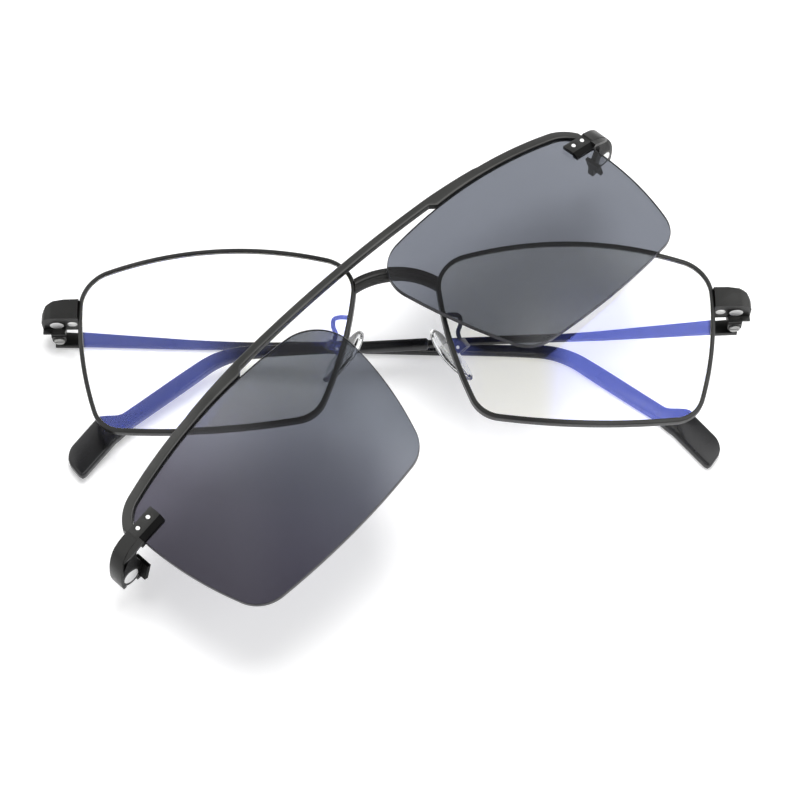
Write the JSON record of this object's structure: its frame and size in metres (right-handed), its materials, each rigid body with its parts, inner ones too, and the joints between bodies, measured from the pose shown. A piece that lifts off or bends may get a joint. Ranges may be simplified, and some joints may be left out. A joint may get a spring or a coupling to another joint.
{
  "type": "eyeglass frame",
  "caption": "Folded full-rim metal spectacles with rounded rectangular lenses, nose pads and plastic temple tips, with a magnetic grey sun clip resting across them.",
  "frame": {"origin": "on the outer face of the left temple's plastic tip, which lies flat on the table, beside the middle of the set", "axes": "+X along the folded left temple towards the right side of the picture, +Y up as the spectacles are worn, +Z up from the table, out of the front of the lenses"},
  "size_m": [0.1413, 0.1104, 0.0296],
  "materials": {
    "dark_metal": "satin gunmetal",
    "bar_metal": "satin graphite",
    "clear_lens": "clear with a blue coating",
    "grey_lens": "grey tinted, smooth",
    "bright_steel": "bright",
    "nickel": "plated, lightly brushed",
    "clear_soft": "clear silicone",
    "black_tip": "glossy black acetate"
  },
  "bodies": {
    "front": {"rim_left": "dark_metal", "rim_right": "dark_metal", "demo_lens_left": "clear_lens", "demo_lens_right": "clear_lens", "bridge": "dark_metal", "endpiece_left": "dark_metal", "endpiece_right": "dark_metal", "lock_screw_left": "bright_steel", "lock_screw_right": "bright_steel", "hinge_screw_left": "bright_steel", "hinge_screw_right": "bright_steel", "frame_magnet_left": "nickel", "frame_magnet_right": "nickel", "pad_arm_left": "dark_metal", "pad_arm_right": "dark_metal", "pad_pin_left": "bright_steel", "pad_pin_right": "bright_steel"},
    "temple_left": {"temple_arm_left": "dark_metal", "temple_tip_left": "black_tip"},
    "temple_right": {"temple_arm_right": "dark_metal", "temple_tip_right": "black_tip"},
    "pad_left": {"nose_pad_left": "clear_soft"},
    "pad_right": {"nose_pad_right": "clear_soft"},
    "clip": {"clip_bar": "bar_metal", "clip_lens_left": "grey_lens", "clip_lens_right": "grey_lens", "clip_bracket_left": "dark_metal", "clip_bracket_right": "dark_metal", "clip_magnet_left": "nickel", "clip_magnet_right": "nickel", "clip_rivets_left": "bright_steel", "clip_rivets_right": "bright_steel"}
  },
  "joints": [
    {"name": "left_temple_hinge", "type": "hinge", "parent": "front", "child": "temple_left", "pos_m": [-0.0678, 0, 0.0036], "axis": [0, 1, 0], "range_deg": [0, 90]},
    {"name": "right_temple_hinge", "type": "hinge", "parent": "front", "child": "temple_right", "pos_m": [0.06694, -0.00188, 0.01875], "axis": [0.0276, -0.9996, 0.0032], "range_deg": [0, 90]},
    {"name": "left_pad_rock", "type": "hinge", "parent": "front", "child": "pad_left", "pos_m": [-0.01334, -0.00789, 0.0132], "axis": [0.3162, -0.5324, 0.7852], "range_deg": [-10, 10]},
    {"name": "right_pad_rock", "type": "hinge", "parent": "front", "child": "pad_right", "pos_m": [0.01151, -0.00823, 0.016], "axis": [-0.4972, -0.521, 0.6937], "range_deg": [-10, 10]},
    {"name": "clip_lift", "type": "slide", "parent": "front", "child": "clip", "axis": [0, 0, 1], "range_m": [0, 0.06]}
  ],
  "couplings": [
    {"joint": "right_temple_hinge", "follows": "left_temple_hinge", "ratio": 1}
  ]
}
